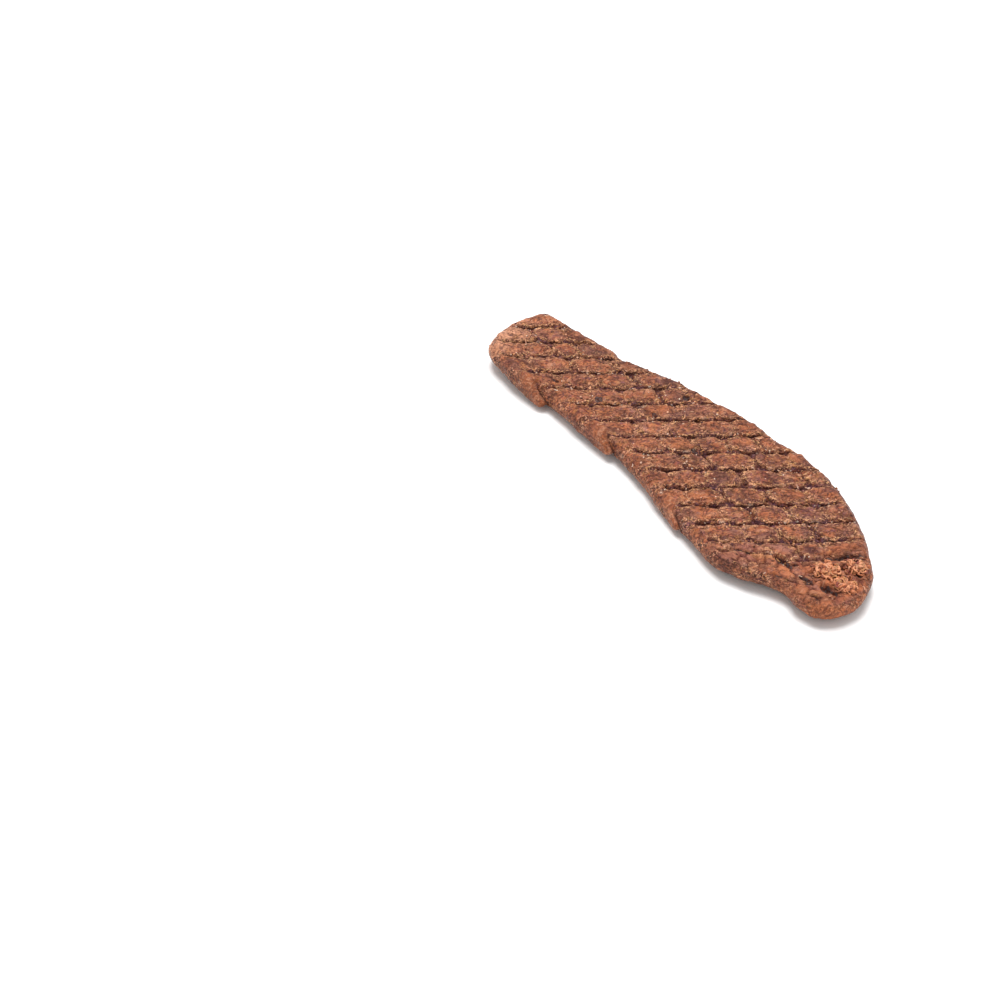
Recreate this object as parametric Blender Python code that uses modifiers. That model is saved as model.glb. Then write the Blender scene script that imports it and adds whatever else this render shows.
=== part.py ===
"""One dried strip of pressed chicken, lying flat, with the marks of a wire drying belt on both faces.

The strip runs along X with its wide, torn end at +X. It lies on Z = 0, and its sizes are in millimetres.
"""

import math

import bpy
import numpy as np

MM = 0.001

# Slab
THICKNESS = 6.0
RIM_RADIUS = THICKNESS / 2
SPAN_STEPS = 12
VOXEL = 0.35
TRIANGLES = 11400
NARROW_END_LIFT = 1.0
WIDE_END_LIFT = 0.8
SIDE_LIFT = 0.8
SWELL = 0.35

# Outline from above, anticlockwise from the wide end
OUTLINE = (
    (63.9, -8.2), (62.5, -2.5), (59.9, 1.8), (51.0, 9.5), (42.6, 14.7), (33.6, 18.4), (22.5, 20.8), (17.0, 20.2),
    (5.0, 21.2), (-7.0, 19.9), (-18.5, 19.1), (-28.5, 17.1), (-34.7, 15.4), (-42.6, 15.3), (-55.2, 14.0),
    (-62.1, 13.5), (-64.5, 8.2), (-65.4, 2.2), (-64.2, -4.8), (-60.5, -9.7), (-48.4, -11.6), (-35.2, -10.8),
    (-24.0, -11.8), (-12.0, -11.9), (0.0, -14.4), (12.5, -17.9), (24.0, -20.7), (33.5, -22.9), (39.7, -21.1),
    (48.7, -17.6), (53.8, -18.7), (59.4, -17.7), (62.8, -13.4),
)

# Belt marks: straight rods across the strip, and short links between each rod and the next
ROD_ANGLE = math.radians(48.0)
ROD_PITCH = 6.35
ROD_PHASE = 2.9
LAST_ROW = 6.5
SQUEEZED_ROW = 5.0
SQUEEZE = 0.75
LINK_RUN = 2.6
LINK_REACH = 4.2
LINK_PITCH = 8.6
LINK_STEP = 4.3
LINK_JITTER = 1.6
CORNER_POWER = 2.4
CREASE_WIDTH = 0.5
CREASE_DEPTH = 0.45
POCKET_DEPTH = 0.6
UNDERSIDE_SHARE = 0.6
UNDERSIDE_SHIFT = 2.4
FLAT_MARGIN = 0.06

# Links of the upper face by row: place along the rods, strength
LINKS = {
    -9: ((-31.5, 0.4),),
    -8: ((-35.8, 1.0), (-26.8, 0.4)),
    -7: ((-37.5, 0.5), (-30.6, 1.0), (-23.8, 0.6), (-19.2, 0.4)),
    -6: ((-36.6, 0.5), (-25.8, 0.8), (-14.3, 0.9)),
    -5: ((-28.5, 0.3), (-18.8, 0.9), (-9.3, 1.0), (-0.5, 0.5)),
    -4: ((-21.5, 0.3), (-12.7, 0.8), (-3.2, 1.0), (3.8, 0.4)),
    -3: ((-20.2, 0.6), (-15.0, 0.4), (-8.7, 0.8), (1.3, 0.5), (10.5, 0.4)),
    -2: ((-18.0, 0.3), (-9.9, 0.6), (-2.3, 0.7), (6.5, 0.5), (14.5, 0.5)),
    -1: ((-12.0, 0.4), (-4.0, 0.7), (3.8, 0.5), (12.2, 0.9), (20.0, 0.7)),
    0: ((-7.5, 0.4), (1.0, 0.8), (6.8, 0.9), (18.7, 1.0), (27.0, 0.6)),
    1: ((-3.0, 0.5), (5.8, 0.7), (14.6, 0.9), (24.8, 0.5), (30.0, 1.0), (33.2, 0.4)),
    2: ((0.5, 0.6), (9.3, 0.9), (20.0, 1.0), (29.6, 0.8)),
    3: ((-1.5, 0.6), (7.8, 0.6), (15.4, 1.0), (24.4, 0.9), (32.3, 0.6)),
    4: ((4.0, 0.6), (13.0, 0.7), (21.0, 0.9), (29.3, 1.0), (37.8, 0.6)),
    5: ((8.5, 0.5), (17.0, 0.7), (24.5, 0.9), (31.0, 0.4)),
    6: ((60.0, 0.0),),
}

# Heaps of shreds in the torn patch: middle, half length, half width, turn in degrees
HEAPS = (
    (54.0, -8.2, 2.6, 2.0, 0),
    (59.0, -8.9, 3.2, 2.3, 20),
    (56.9, -2.4, 3.3, 1.4, 48),
)
HEAP_RISE = 0.6

# Holes and slits of the upper face: middle, half length, half width, turn in degrees, depth
PITS = (
    (-26.3, -2.3, 1.2, 1.0, 0, 0.9),
    (-38.9, -5.4, 1.3, 0.6, 5, 0.8),
    (4.0, 1.4, 0.9, 0.8, 0, 0.9),
    (-11.3, 15.0, 1.1, 0.9, 0, 0.8),
    (-12.1, 3.8, 0.8, 0.7, 0, 0.8),
    (46.7, -16.4, 1.2, 0.8, 10, 0.7),
    (45.5, -12.4, 2.6, 0.8, 8, 1.1),
    (54.3, -5.6, 4.0, 0.7, -2, 1.2),
    (58.0, -11.9, 1.9, 0.8, 26, 1.2),
    (53.2, -11.0, 0.9, 0.6, 20, 1.0),
    (52.6, -13.8, 1.7, 1.1, 30, 0.9),
    (55.0, 0.3, 4.5, 0.8, 50, 0.9),
    (60.4, 0.1, 1.5, 0.35, -42, 0.8),
    (37.4, -20.9, 3.6, 0.9, 13, 0.8),
)

# Flaps folded over the rim: side, x of the free end, length, height, lean of the end
FLAPS = (
    (-1, -36.6, 16.0, 1.0, 5.0),
    (-1, -11.0, 18.0, 1.1, 3.5),
    (-1, 19.0, 14.0, 0.8, 3.0),
    (1, -34.8, 8.0, 0.6, 2.0),
)
FLAP_CRACK = 0.8
FLAP_CRACK_WIDTH = 0.45


def step(value, low, high):
    """Smooth step from 0 at low to 1 at high."""
    t = np.clip((value - low) / (high - low), 0.0, 1.0)
    return t * t * (3.0 - 2.0 * t)


def lattice_angle(i, j, seed):
    """A fixed pseudo-random angle for each point of a whole-number lattice."""
    n = (i * 374761393 + j * 668265263 + seed * 974634777) & 0x7FFFFFFF
    n = ((n ^ (n >> 13)) * 1274126177) & 0x7FFFFFFF
    n = n ^ (n >> 16)
    return (n & 0xFFFF) * (2.0 * math.pi / 65536.0)


def noise(x, y, seed):
    """Gradient noise in two dimensions, about -1 to 1, with features one unit across."""
    i = np.floor(x).astype(np.int64)
    j = np.floor(y).astype(np.int64)
    fx = x - i
    fy = y - j
    wx = fx * fx * fx * (fx * (fx * 6.0 - 15.0) + 10.0)
    wy = fy * fy * fy * (fy * (fy * 6.0 - 15.0) + 10.0)

    def corner(di, dj):
        angle = lattice_angle(i + di, j + dj, seed)
        return np.cos(angle) * (fx - di) + np.sin(angle) * (fy - dj)

    low = corner(0, 0) * (1.0 - wx) + corner(1, 0) * wx
    high = corner(0, 1) * (1.0 - wx) + corner(1, 1) * wx
    return 1.5 * (low * (1.0 - wy) + high * wy)


def lattice_value(i, j, seed):
    """A fixed pseudo-random number from 0 to 1 for each point of a whole-number lattice."""
    return lattice_angle(i.astype(np.int64), j.astype(np.int64), seed) / (2.0 * math.pi)


def closed_curve(points, steps):
    """Points along the smooth closed curve that passes through the given ones."""
    p = np.array(points)
    before = np.roll(p, 1, axis=0)
    after = np.roll(p, -1, axis=0)
    beyond = np.roll(p, -2, axis=0)
    t = np.arange(steps)[None, :, None] / steps
    a, b, c, d = (q[:, None, :] for q in (before, p, after, beyond))
    curve = b + 0.5 * t * (c - a + t * (2 * a - 5 * b + 4 * c - d + t * (3 * (b - c) + d - a)))
    return curve.reshape(-1, 2)


def edge_distance(x, y, outline):
    """How far each point lies inside the outline."""
    start = outline
    run = np.roll(outline, -1, axis=0) - start
    length_squared = (run ** 2).sum(axis=1)
    nearest = np.empty(len(x))
    for first in range(0, len(x), 10000):
        part = slice(first, first + 10000)
        dx = x[part, None] - start[None, :, 0]
        dy = y[part, None] - start[None, :, 1]
        t = np.clip((dx * run[:, 0] + dy * run[:, 1]) / length_squared, 0.0, 1.0)
        gap = np.hypot(dx - t * run[:, 0], dy - t * run[:, 1])
        nearest[part] = gap.min(axis=1)
    return nearest


def link_places(band, seed, places):
    """Where the links of one row stand along the rods, and how strong each is."""
    if band in places:
        marks = np.array(places[band])
        return marks[:, 0], marks[:, 1]
    n = np.arange(-12, 13)
    row = np.full(n.shape, band)
    wander = LINK_JITTER * (lattice_value(n, row, seed + 3) - 0.5)
    return LINK_STEP * (band % 2) + LINK_PITCH * n + wander, 0.3 + 0.7 * lattice_value(n, row, seed + 4)


def belt_marks(x, y, shift, seed, places):
    """Marks of the belt: way from a cell's middle to its border as 0 to 1, depth of the crease, and the row."""
    along = x * math.cos(ROD_ANGLE) + y * math.sin(ROD_ANGLE) + shift
    across = x * math.sin(ROD_ANGLE) - y * math.cos(ROD_ANGLE) - ROD_PHASE + shift
    across = across + 0.3 * noise(along / 13.0, across / 20.0, seed) + 0.16 * noise(along / 4.0, across / 6.0, seed + 1)
    row = across / ROD_PITCH
    row = row + SQUEEZE * np.maximum(row - SQUEEZED_ROW, 0.0) * (1.0 - step(along, 15.0, 22.0))
    rod = np.round(row)
    rod_gap = np.abs(row - rod) * ROD_PITCH
    rod_force = np.clip(0.75 + 0.7 * noise(along / 8.0, rod * 3.7, seed + 2), 0.25, 1.0)

    band = np.floor(row).astype(int)
    height = row - band
    link_gap = np.full(x.shape, LINK_REACH)
    link_force = np.zeros(x.shape)
    for number in range(band.min(), band.max() + 1):
        here = band == number
        stands, forces = link_places(number, seed, places)
        offset = along[here, None] - LINK_RUN * (height[here, None] - 0.5) - stands
        nearest = np.abs(offset).argmin(axis=1)
        link_gap[here] = np.abs(offset).min(axis=1)
        link_force[here] = forces[nearest]

    to_rod = np.abs(2.0 * height - 1.0) * (0.88 + 0.12 * rod_force)
    to_link = np.maximum(1.0 - link_gap / LINK_REACH, 0.0) * (0.74 + 0.26 * link_force)
    edge = (to_rod ** CORNER_POWER + to_link ** CORNER_POWER) ** (1.0 / CORNER_POWER)
    rod_crease = rod_force * np.exp(-(rod_gap / CREASE_WIDTH) ** 2)
    link_crease = 0.8 * link_force * np.exp(-(link_gap / CREASE_WIDTH) ** 2)
    return edge, np.maximum(rod_crease, link_crease), row


def oval(x, y, px, py, half_length, half_width, angle):
    """1 in the middle of an oval, 0 outside it."""
    turn = math.radians(angle)
    dx = x - px
    dy = y - py
    u = (dx * math.cos(turn) + dy * math.sin(turn)) / half_length
    v = (dy * math.cos(turn) - dx * math.sin(turn)) / half_width
    return np.exp(-(u * u + v * v) ** 2)


def pit_depth(x, y):
    """Depth of the holes in the upper face."""
    depth = np.zeros_like(x)
    for *place, deep in PITS:
        depth = np.maximum(depth, deep * oval(x, y, *place))
    return depth


def torn_share(x, y):
    """1 on the heaps of shreds, 0 away from them."""
    share = np.zeros_like(x)
    for heap in HEAPS:
        share = np.maximum(share, oval(x, y, *heap))
    return share


def upper_relief(x, y, inside):
    """Height of the upper face over the plain slab."""
    near = step(-y - 0.35 * x, 0.0, 12.0)
    fade = step(inside, 0.3 + 1.4 * near, 1.6 + 2.2 * near)
    edge, crease, row = belt_marks(x, y, 0.0, 11, LINKS)
    torn = torn_share(x, y)
    fade = fade * (1.0 - step(row, LAST_ROW - 0.25, LAST_ROW + 0.1)) * (1.0 - 0.8 * torn)
    pocket = step(edge, 0.8, 1.05)
    dome = SWELL * np.maximum(1.0 - edge * edge, 0.0)
    lumps = 0.2 * noise(x / 4.2, y / 4.2, 21) + 0.13 * noise(x / 2.0, y / 2.0, 22)
    heaps = HEAP_RISE * torn * (0.4 + noise(x / 1.8, y / 1.5, 23))
    return fade * (dome - POCKET_DEPTH * pocket - CREASE_DEPTH * crease) + lumps + heaps - pit_depth(x, y)


def lower_relief(x, y, inside):
    """Height of the lower face above the plain slab's underside; its flats stay level to lie on."""
    fade = step(inside, 1.5, 4.0)
    edge, crease, _ = belt_marks(x, y, UNDERSIDE_SHIFT, 51, {})
    marks = UNDERSIDE_SHARE * fade * (POCKET_DEPTH * step(edge, 0.8, 1.05) + CREASE_DEPTH * crease)
    hollows = 0.7 * step(noise(x / 6.5, y / 5.0, 61), 0.3, 0.9)
    return np.maximum(marks - FLAT_MARGIN, 0.0) + hollows


def flap_relief(x, y, level):
    """Outward height of the flaps on the rim. Level runs from -1 at the bottom to 1 at the top."""
    total = np.zeros_like(x)
    low = 1.0 - step(level, -0.3, 0.9)
    for side, end, length, height, lean in FLAPS:
        on_side = y * side > 0.0
        behind = end - lean * step(level, 0.1, 1.0) - x
        rise = height * step(behind, length, 0.0) * step(behind, -0.25, 0.35)
        crack = (0.15 + 0.85 * low) * np.exp(-((behind + 0.25) / FLAP_CRACK_WIDTH) ** 2)
        total += np.where(on_side, rise - FLAP_CRACK * crack, 0.0)
    return total


def lift(x, y, inside):
    """How far the strip's middle is bent up from the floor."""
    narrow = NARROW_END_LIFT * step(-x, 26.0, 66.0)
    wide = WIDE_END_LIFT * step(x, 30.0, 66.0)
    sides = SIDE_LIFT * (1.0 - step(inside, 0.0, 7.0)) * (0.6 + 0.8 * noise(x / 25.0, y / 60.0, 71))
    return narrow + wide + np.maximum(sides, 0.0)


def make_collection(name):
    """An empty collection in the scene."""
    collection = bpy.data.collections.new(name)
    bpy.context.scene.collection.children.link(collection)
    return collection


def evaluated_mesh(obj):
    """The object's mesh with its modifiers applied; the object is removed."""
    graph = bpy.context.evaluated_depsgraph_get()
    mesh = bpy.data.meshes.new_from_object(obj.evaluated_get(graph))
    bpy.data.objects.remove(obj)
    return mesh


def make_slab(collection, outline):
    """The plain slab with a round rim, as a fine even mesh."""
    curve = bpy.data.curves.new("slab_outline", "CURVE")
    curve.dimensions = "2D"
    curve.fill_mode = "BOTH"
    curve.bevel_depth = RIM_RADIUS * MM
    curve.bevel_resolution = 8
    curve.offset = -RIM_RADIUS * MM
    spline = curve.splines.new("POLY")
    spline.points.add(len(outline) - 1)
    for point, (x, y) in zip(spline.points, outline):
        point.co = (x * MM, y * MM, 0.0, 1.0)
    spline.use_cyclic_u = True
    flat = bpy.data.objects.new("slab_outline", curve)
    collection.objects.link(flat)
    bpy.context.view_layer.update()
    slab = bpy.data.objects.new("slab", evaluated_mesh(flat))
    collection.objects.link(slab)
    weld = slab.modifiers.new("Weld", "WELD")
    weld.merge_threshold = 0.00001
    remesh = slab.modifiers.new("Remesh", "REMESH")
    remesh.mode = "VOXEL"
    remesh.voxel_size = VOXEL * MM
    bpy.context.view_layer.update()
    return evaluated_mesh(slab)


def carve(mesh, outline):
    """Moves the slab's points onto the true surface."""
    count = len(mesh.vertices)
    flat = np.empty(count * 3)
    mesh.vertices.foreach_get("co", flat)
    points = flat.reshape(-1, 3) / MM
    normals = np.empty(count * 3)
    mesh.vertex_normals.foreach_get("vector", normals)
    normals = normals.reshape(-1, 3)
    x, y, z = points.T
    inside = edge_distance(x, y, outline)
    level = np.clip(z / (RIM_RADIUS - FLAT_MARGIN), -1.0, 1.0)
    up = step(normals[:, 2], 0.45, 0.95)
    down = step(-normals[:, 2], 0.45, 0.95)
    rim = 1.0 - up - down
    rim_lumps = 0.3 * noise(x / 6.0 + y / 9.0, z / 4.0 - y / 5.0, 81) + 0.12 * noise(x / 2.4, z / 1.8 + y / 2.4, 82)
    flaps = flap_relief(x, y, level) * (1.0 - step(inside, 1.5, 3.0)) * (1.0 - 0.7 * down)
    outward = up * upper_relief(x, y, inside) - down * lower_relief(x, y, inside) + rim * rim_lumps + flaps
    thick = 1.0 + 0.07 * noise(x / 30.0, y / 20.0, 91)
    height = RIM_RADIUS * (1.0 + level * np.where(level > 0.0, thick, 1.0)) + lift(x, y, inside)
    moved = np.stack([x, y, height], axis=1) + normals * outward[:, None]
    moved[:, 2] = np.maximum(moved[:, 2], 0.0)
    mesh.vertices.foreach_set("co", (moved * MM).ravel())
    mesh.update()


def centre_on_floor(mesh):
    """Puts the mesh's box on Z = 0 with its centre over the origin, and levels the flats it lies on."""
    count = len(mesh.vertices)
    flat = np.empty(count * 3)
    mesh.vertices.foreach_get("co", flat)
    points = flat.reshape(-1, 3)
    low = points.min(axis=0)
    high = points.max(axis=0)
    points -= ((low[0] + high[0]) / 2, (low[1] + high[1]) / 2, low[2])
    points[:, 2] = np.where(points[:, 2] < FLAT_MARGIN * MM, 0.0, points[:, 2])
    mesh.vertices.foreach_set("co", points.ravel())
    mesh.update()


def jerky_material():
    """Dry brown meat with a slight gloss."""
    material = bpy.data.materials.new("jerky")
    material.use_nodes = True
    shader = material.node_tree.nodes["Principled BSDF"]
    shader.inputs["Base Color"].default_value = (0.30, 0.125, 0.075, 1.0)
    shader.inputs["Roughness"].default_value = 0.55
    shader.inputs["Metallic"].default_value = 0.0
    material.diffuse_color = (0.30, 0.125, 0.075, 1.0)
    return material


def make_strip():
    """Builds the strip."""
    collection = make_collection("chicken_jerky")
    outline = closed_curve(OUTLINE, SPAN_STEPS)
    mesh = make_slab(collection, outline)
    carve(mesh, outline)
    dense = bpy.data.objects.new("dense", mesh)
    collection.objects.link(dense)
    decimate = dense.modifiers.new("Decimate", "DECIMATE")
    decimate.ratio = TRIANGLES / (2.0 * len(mesh.polygons))
    decimate.use_collapse_triangulate = True
    bpy.context.view_layer.update()
    light = evaluated_mesh(dense)
    centre_on_floor(light)
    light.materials.append(jerky_material())
    light.shade_smooth()
    light.name = "jerky_strip"
    strip = bpy.data.objects.new("jerky_strip", light)
    collection.objects.link(strip)
    return strip


def main():
    for obj in list(bpy.data.objects):
        bpy.data.objects.remove(obj)
    make_strip()


main()
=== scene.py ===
"""Looks of one dried strip of pressed chicken, lying flat on a pale floor.

The strip's form repeats the solid's named sizes, at a finer grain. Lengths in this file are in millimetres.
"""
import math

import bmesh
import bpy
import numpy as np
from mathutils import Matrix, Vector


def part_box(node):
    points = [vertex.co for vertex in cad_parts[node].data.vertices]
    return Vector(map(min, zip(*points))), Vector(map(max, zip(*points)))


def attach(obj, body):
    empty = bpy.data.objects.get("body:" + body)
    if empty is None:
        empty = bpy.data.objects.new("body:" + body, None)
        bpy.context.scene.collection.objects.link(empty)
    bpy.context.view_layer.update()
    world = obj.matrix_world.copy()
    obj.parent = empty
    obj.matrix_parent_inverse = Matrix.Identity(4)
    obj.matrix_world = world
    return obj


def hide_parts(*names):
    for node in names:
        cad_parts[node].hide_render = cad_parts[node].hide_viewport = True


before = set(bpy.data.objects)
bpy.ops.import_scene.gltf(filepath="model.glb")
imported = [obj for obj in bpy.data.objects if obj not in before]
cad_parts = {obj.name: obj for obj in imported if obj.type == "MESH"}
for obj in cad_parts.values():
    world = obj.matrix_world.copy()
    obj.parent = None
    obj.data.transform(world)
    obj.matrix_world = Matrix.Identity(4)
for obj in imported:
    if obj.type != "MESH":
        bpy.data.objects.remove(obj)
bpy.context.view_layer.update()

MM = 0.001
NODE = "jerky_strip"

# Slab, as in the solid
THICKNESS = 6.0
RIM_RADIUS = THICKNESS / 2
SPAN_STEPS = 12
FLAT_MARGIN = 0.06
NARROW_END_LIFT = 1.0
WIDE_END_LIFT = 0.8
SIDE_LIFT = 0.8
SWELL = 0.66
SWELL_MEAN = 0.28
OUTLINE = (
    (63.9, -8.2), (62.5, -2.5), (59.9, 1.8), (51.0, 9.5), (42.6, 14.7), (33.6, 18.4), (22.5, 20.8),
    (17.0, 20.2), (5.0, 21.2), (-7.0, 19.9), (-18.5, 19.1), (-28.5, 17.1), (-34.7, 15.4), (-42.6, 15.3),
    (-55.2, 14.0), (-62.1, 13.5), (-64.5, 8.2), (-65.4, 2.2), (-64.2, -4.8), (-60.5, -9.7), (-48.4, -11.6),
    (-35.2, -10.8), (-24.0, -11.8), (-12.0, -11.9), (0.0, -14.4), (12.5, -17.9), (24.0, -20.7), (33.5, -22.9),
    (39.7, -21.1), (48.7, -17.6), (53.8, -18.7), (59.4, -17.7), (62.8, -13.4),
)

# Marks of the drying belt
ROD_ANGLE = math.radians(48.0)
ROD_PITCH = 6.35
ROD_PHASE = 2.9
LAST_ROW = 6.5
SQUEEZED_ROW = 5.0
SQUEEZE = 0.75
LINK_RUN = 2.6
LINK_REACH = 4.2
LINK_PITCH = 8.6
LINK_STEP = 4.3
LINK_JITTER = 1.6
CORNER_POWER = 2.4
CREASE_WIDTH = 0.28
CREASE_DEPTH = 0.7
POCKET_DEPTH = 0.34
UNDERSIDE_SHARE = 0.6
UNDERSIDE_SHIFT = 2.4

# Links of the upper face by row: place along the rods, strength
LINKS = {
    -9: ((-31.5, 0.4),),
    -8: ((-35.8, 1.0), (-26.8, 0.4)),
    -7: ((-37.5, 0.5), (-30.6, 1.0), (-23.8, 0.6), (-19.2, 0.4)),
    -6: ((-36.6, 0.5), (-25.8, 0.8), (-14.3, 0.9)),
    -5: ((-28.5, 0.3), (-18.8, 0.9), (-9.3, 1.0), (-0.5, 0.5)),
    -4: ((-21.5, 0.3), (-12.7, 0.8), (-3.2, 1.0), (3.8, 0.4)),
    -3: ((-20.2, 0.6), (-15.0, 0.4), (-8.7, 0.8), (1.3, 0.5), (10.5, 0.4)),
    -2: ((-18.0, 0.3), (-9.9, 0.6), (-2.3, 0.7), (6.5, 0.5), (14.5, 0.5)),
    -1: ((-12.0, 0.4), (-4.0, 0.7), (3.8, 0.5), (12.2, 0.9), (20.0, 0.7)),
    0: ((-7.5, 0.4), (1.0, 0.8), (6.8, 0.9), (18.7, 1.0), (27.0, 0.6)),
    1: ((-3.0, 0.5), (5.8, 0.7), (14.6, 0.9), (24.8, 0.5), (30.0, 1.0), (33.2, 0.4)),
    2: ((0.5, 0.6), (9.3, 0.9), (20.0, 1.0), (29.6, 0.8)),
    3: ((-1.5, 0.6), (7.8, 0.6), (15.4, 1.0), (24.4, 0.9), (32.3, 0.6)),
    4: ((4.0, 0.6), (13.0, 0.7), (21.0, 0.9), (29.3, 1.0), (37.8, 0.6)),
    5: ((8.5, 0.5), (17.0, 0.7), (24.5, 0.9), (31.0, 0.4)),
    6: ((60.0, 0.0),),
}

# Holes and slits of the upper face: middle, half length, half width, turn in degrees, depth
PITS = (
    (-26.3, -2.3, 1.2, 1.0, 0, 0.9),
    (-38.9, -5.4, 1.3, 0.6, 5, 0.8),
    (4.0, 1.4, 0.9, 0.8, 0, 0.9),
    (-11.3, 15.0, 1.1, 0.9, 0, 0.8),
    (-12.1, 3.8, 0.8, 0.7, 0, 0.8),
    (47.1, -17.4, 1.5, 0.7, 12, 0.8),
    (44.8, -12.6, 2.3, 0.9, 5, 1.2),
    (47.4, -11.3, 0.8, 0.5, 40, 0.9),
    (54.8, -5.0, 2.1, 0.6, 12, 1.1),
    (58.3, -3.8, 2.2, 0.5, 25, 0.9),
    (58.0, -12.2, 2.2, 0.8, 18, 1.3),
    (53.0, -10.6, 1.1, 0.6, 10, 1.1),
    (52.4, -13.4, 2.2, 0.9, 0, 1.0),
    (53.5, -1.2, 5.2, 0.7, 50, 0.8),
    (61.4, -1.1, 1.3, 0.4, -45, 0.8),
    (40.2, -22.4, 4.2, 0.6, 14, 0.6),
    (57.0, -16.0, 1.8, 0.4, 25, 0.5),
    (37.4, -15.7, 6.3, 0.45, 34, 0.8),
)

# Heaps of shreds in the torn patch: middle, half length, half width, turn in degrees
HEAPS = (
    (53.6, -7.4, 2.6, 1.7, 40),
    (59.3, -8.6, 2.9, 2.1, 20),
    (57.3, -1.8, 3.2, 1.3, 52),
)
HEAP_RISE = 0.8
HEAP_HOLLOW = 0.2
TORN_FIELD = (56.8, -6.0, 6.8, 5.4, 45)

# Patches of their own colour on the upper face: middle, half length, half width, turn, colour number, rise
PATCHES = (
    (42.4, -9.4, 3.0, 1.5, 10, 0.38, 0.25),
    (40.7, -14.3, 3.6, 0.9, 38, 0.92, 0.4),
    (32.7, -15.7, 2.6, 0.6, 47, 0.9, 0.2),
    (40.2, -22.6, 4.4, 1.0, 14, 0.12, 0.0),
    (37.1, -20.2, 3.8, 1.2, 23, 0.46, 0.2),
    (55.3, -11.6, 2.4, 1.2, 24, 0.6, 0.8),
    (51.5, 0.7, 5.0, 1.0, 66, 0.58, 0.4),
    (51.4, 5.8, 2.0, 0.8, 77, 0.88, 0.2),
    (54.0, 6.4, 2.6, 0.7, -30, 0.88, 0.2),
    (46.9, -5.2, 2.4, 1.2, 20, 0.0, 0.0),
    (59.4, -18.0, 2.2, 0.9, 6, 0.14, 0.0),
    (62.0, -14.2, 1.9, 1.1, 70, 0.48, 0.1),
    (63.0, -10.2, 1.9, 1.0, 80, 0.5, 0.1),
    (62.6, -6.4, 2.0, 1.0, 85, 0.7, 0.0),
    (47.0, -14.9, 3.0, 1.2, 4, 0.68, 0.3),
    (49.8, -10.2, 1.5, 1.0, 30, 0.58, 0.3),
)

# Flaps folded over the rim: side, x of the free end, length, height, lean of the end
FLAPS = (
    (-1, -36.6, 16.0, 1.6, 5.5),
    (-1, -11.0, 18.0, 1.4, 4.0),
    (-1, 19.0, 14.0, 0.8, 4.0),
    (1, -34.8, 8.0, 0.6, 2.0),
)
FLAP_CRACK = 0.9
FLAP_CRACK_WIDTH = 0.45
FLAP_TIP = 1.6

# Size of the fine mesh's cells, and how many triangles it keeps
VOXEL = 0.25
TRIANGLES = 192000

# Grains, and chunks of the wide end: sizes, rise, roundness, crevices, where those break off
GRAIN = {"sizes": (1.9, 1.2), "rise": 0.55, "dome": 0.35, "gap": 0.14, "depth": 0.9,
         "breaks": (3.1, -0.25, 0.45)}
CHUNK = {"sizes": (3.4, 2.3), "rise": 0.6, "dome": 0.5, "gap": 0.12, "depth": 0.7,
         "breaks": (3.0, -0.5, 0.2)}

# Ends of the fade into a pocket, and from the rim to a face
POCKET = (0.8, 1.05)
FACING = (0.45, 0.95)

# Regions with a tone of their own, and the far rim's painted shade: where each one starts and where it is
# full
WARM_SLOPE = 0.25
WARM_SIDE = (0.0, 14.0)
WARM_SIDE_END = (5.0, 40.0)
WARM_END = (36.0, 54.0)
WARM_END_SHARE = 0.6
GLOW = (46.0, 60.0)
GLOW_REACH = (1.0, 4.0)
PALE = (53.0, 62.0)
PALE_SIDE = (0.0, 9.0)
FAR_SLOPE = 0.15
FAR_SIDE = (2.0, 8.0)
FAR_REACH = (4.5, 0.5)

# Height between the slices that the materials' patterns are cut from
SLICE = 31.7

# Loose bits
PIECE_TOP = 7.9
SEED = 7
GRID = 0.4
SIDES = 5
SHREDS = 480
CHUNKS = 90
FIBRES = 360
GRAINS = 1200

# Camera: where it stands from the strip's centre, which way it looks, its lens and nearest distance
CAMERA_PLACE = (187.87, -227.98, 259.4)
CAMERA_AZIMUTH = 48.0
CAMERA_PITCH = 43.0
CAMERA_LENS = 55.48
SENSOR = 36.0
NEAREST_SEEN = 10.0

# Floor and light, in metres and watts
FLOOR_SIZE = 6.0
FLOOR_DEPTH = 0.00005
FLOOR_PAINT = (0.93, 0.93, 0.93, 1.0)
FLOOR_ROUGHNESS = 0.9
FLOOR_GLOSS = 0.1
ROOM_STRENGTH = 0.7
LIGHT_SIZE = 0.5
LIGHT_POWER = 9.5
LIGHT_PLACE = (-0.2, 0.1, 0.9)

# Gloss and finest relief
MEAT_GLOSS = 0.13
BUMP_STRENGTH = 0.9
BUMP_HEIGHT = 0.5
SHRED_ROUGHNESS = 0.5
SHRED_GLOSS = 0.3

# Colours
TERRACOTTA = (0.340, 0.108, 0.052, 1.0)
CLAY = (0.180, 0.056, 0.030, 1.0)
RUST = (0.230, 0.078, 0.044, 1.0)
TAN = (0.350, 0.152, 0.084, 1.0)
PINK = (0.310, 0.125, 0.090, 1.0)
MAUVE = (0.135, 0.052, 0.044, 1.0)
OLIVE = (0.110, 0.047, 0.026, 1.0)
BROWN = (0.085, 0.024, 0.011, 1.0)
PLUM = (0.075, 0.019, 0.019, 1.0)
SHADE = (0.055, 0.010, 0.005, 1.0)
GOLD = (0.540, 0.245, 0.095, 1.0)
STRAW = (0.640, 0.345, 0.165, 1.0)
PEACH = (0.630, 0.295, 0.175, 1.0)
APRICOT = (0.600, 0.235, 0.115, 1.0)
ORANGE = (0.420, 0.125, 0.048, 1.0)
CREAM = (0.700, 0.520, 0.410, 1.0)
SLATE = (0.070, 0.050, 0.052, 1.0)
VIOLET = (0.135, 0.056, 0.080, 1.0)
SALMON = (0.720, 0.300, 0.150, 1.0)
HONEY = (0.400, 0.175, 0.060, 1.0)
BRICK = (0.240, 0.052, 0.038, 1.0)

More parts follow.
